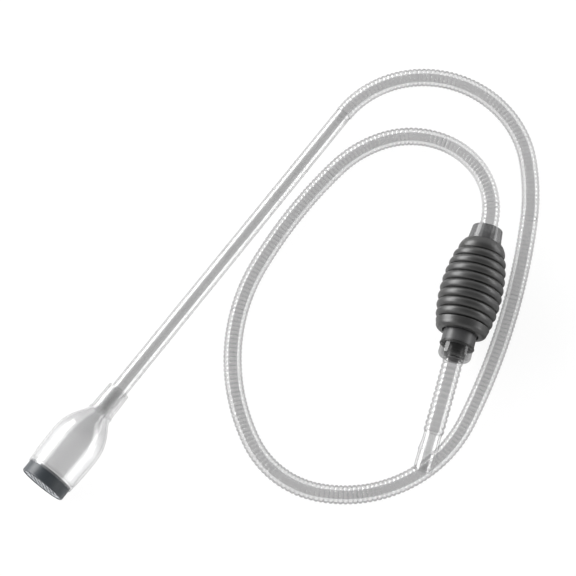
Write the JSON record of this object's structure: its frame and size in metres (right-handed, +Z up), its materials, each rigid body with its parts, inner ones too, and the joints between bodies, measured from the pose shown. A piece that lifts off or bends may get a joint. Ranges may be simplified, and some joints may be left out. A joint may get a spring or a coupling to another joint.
{
  "type": "gravel vacuum siphon",
  "caption": "Coiled aquarium gravel vacuum: bell nozzle with strainer, straight lift tube, corrugated clear hose, ribbed squeeze bulb with check valves and an outlet cuff.",
  "frame": {"origin": "on the floor, in the middle of the coiled siphon's footprint", "axes": "+Z up from the floor; +Y towards the top of the hose's outer arc, away from the strainer; +X towards the side where the squeeze bulb lies"},
  "size_m": [0.5063, 0.4548, 0.0626],
  "materials": {
    "cap_plastic": "moulded, satin charcoal",
    "grid_plastic": "moulded, satin mid grey",
    "bell_plastic": "clear, lightly frosted",
    "collar_plastic": "clear",
    "bush_rubber": "soft, smooth mid grey",
    "tube_plastic": "clear, polished",
    "hose_vinyl": "clear soft vinyl, ribbed",
    "smoky_plastic": "smoky, polished",
    "collar_dark": "satin dark grey",
    "bulb_rubber": "matte dark grey",
    "seal_rubber": "matte black",
    "valve_plastic": "satin black",
    "valve_rubber": "matte black"
  },
  "bodies": {
    "lower_loop": {"hose_07_lower_loop": "hose_vinyl", "hose_08_lower_loop": "hose_vinyl", "hose_09_lower_loop": "hose_vinyl", "hose_10_lower_loop": "hose_vinyl", "hose_11_lower_loop": "hose_vinyl", "hose_12_lower_loop": "hose_vinyl", "hose_13_lower_loop": "hose_vinyl"},
    "outer_arc": {"hose_04_outer_arc": "hose_vinyl", "hose_05_outer_arc": "hose_vinyl", "hose_06_lift_flex": "hose_vinyl"},
    "wand_lead": {"hose_02_wand_lead": "hose_vinyl", "hose_03_swing_flex": "hose_vinyl"},
    "wand": {"hose_01_wand_flex": "hose_vinyl", "lift_tube": "tube_plastic"},
    "nozzle": {"nozzle_bell": "bell_plastic", "nozzle_collar": "collar_plastic", "collar_bush": "bush_rubber"},
    "strainer": {"strainer_ring": "cap_plastic", "strainer_grid": "grid_plastic"},
    "pump_lead": {"hose_14_swing_flex": "hose_vinyl", "hose_15_pump_lead": "hose_vinyl"},
    "pump": {"hose_16_lift_flex": "hose_vinyl", "hose_17_pump_end": "hose_vinyl", "inlet_connector": "smoky_plastic", "inlet_valve_seat": "valve_plastic", "squeeze_bulb": "bulb_rubber"},
    "inlet_valve": {"inlet_valve_disc": "valve_rubber"},
    "outlet_end": {"outlet_collar": "collar_dark", "outlet_o_ring": "seal_rubber", "outlet_connector": "smoky_plastic", "outlet_valve_seat": "valve_plastic", "outlet_hose": "hose_vinyl"},
    "outlet_valve": {"outlet_valve_disc": "valve_rubber"},
    "outlet_tail": {"outlet_cuff": "tube_plastic"}
  },
  "joints": [
    {"name": "hose_lift", "type": "hinge", "parent": "lower_loop", "child": "outer_arc", "pos_m": [0.2068, -0.06709, 0.0091], "axis": [0.9373, -0.3484, 0], "range_deg": [0, 30], "deforming": ["hose_06_lift_flex"]},
    {"name": "wand_swing", "type": "hinge", "parent": "outer_arc", "child": "wand_lead", "pos_m": [0.2105, 0.18956, 0.0091], "axis": [0, 0, -1], "range_deg": [0, 60], "deforming": ["hose_03_swing_flex"]},
    {"name": "wand_lift", "type": "hinge", "parent": "wand_lead", "child": "wand", "pos_m": [0.08916, 0.20585, 0.0091], "axis": [-0.8018, 0.5976, 0], "range_deg": [0, 50], "deforming": ["hose_01_wand_flex"]},
    {"name": "nozzle_turn", "type": "hinge", "parent": "wand", "child": "nozzle", "pos_m": [-0.18145, -0.14102, 0.02532], "axis": [0.5972, 0.8012, -0.039], "continuous": true},
    {"name": "strainer_pull", "type": "slide", "parent": "nozzle", "child": "strainer", "axis": [-0.5972, -0.8012, 0.039], "range_m": [0, 0.03]},
    {"name": "pump_swing", "type": "hinge", "parent": "lower_loop", "child": "pump_lead", "pos_m": [0.07684, 0.13946, 0.0091], "axis": [0, 0, -1], "range_deg": [0, 20], "deforming": ["hose_14_swing_flex"]},
    {"name": "pump_lift", "type": "hinge", "parent": "pump_lead", "child": "pump", "pos_m": [0.1889, 0.11263, 0.0239], "axis": [-0.9618, 0.2736, 0], "range_deg": [0, 50], "deforming": ["hose_16_lift_flex"]},
    {"name": "inlet_valve_lift", "type": "slide", "parent": "pump", "child": "inlet_valve", "axis": [-0.2736, -0.9618, 0], "range_m": [0, 0.002]},
    {"name": "bulb_squeeze", "type": "slide", "parent": "pump", "child": "outlet_end", "axis": [0.2736, 0.9618, 0], "range_m": [0, 0.018], "stiffness_N_per_m": 200, "deforming": ["squeeze_bulb"]},
    {"name": "outlet_valve_lift", "type": "slide", "parent": "outlet_end", "child": "outlet_valve", "axis": [-0.2736, -0.9618, 0], "range_m": [0, 0.002]},
    {"name": "outlet_bend", "type": "hinge", "parent": "outlet_end", "child": "outlet_tail", "pos_m": [0.14782, -0.12634, 0.03111], "axis": [0, 0, 1], "range_deg": [-20, 20], "deforming": ["outlet_hose"]}
  ]
}
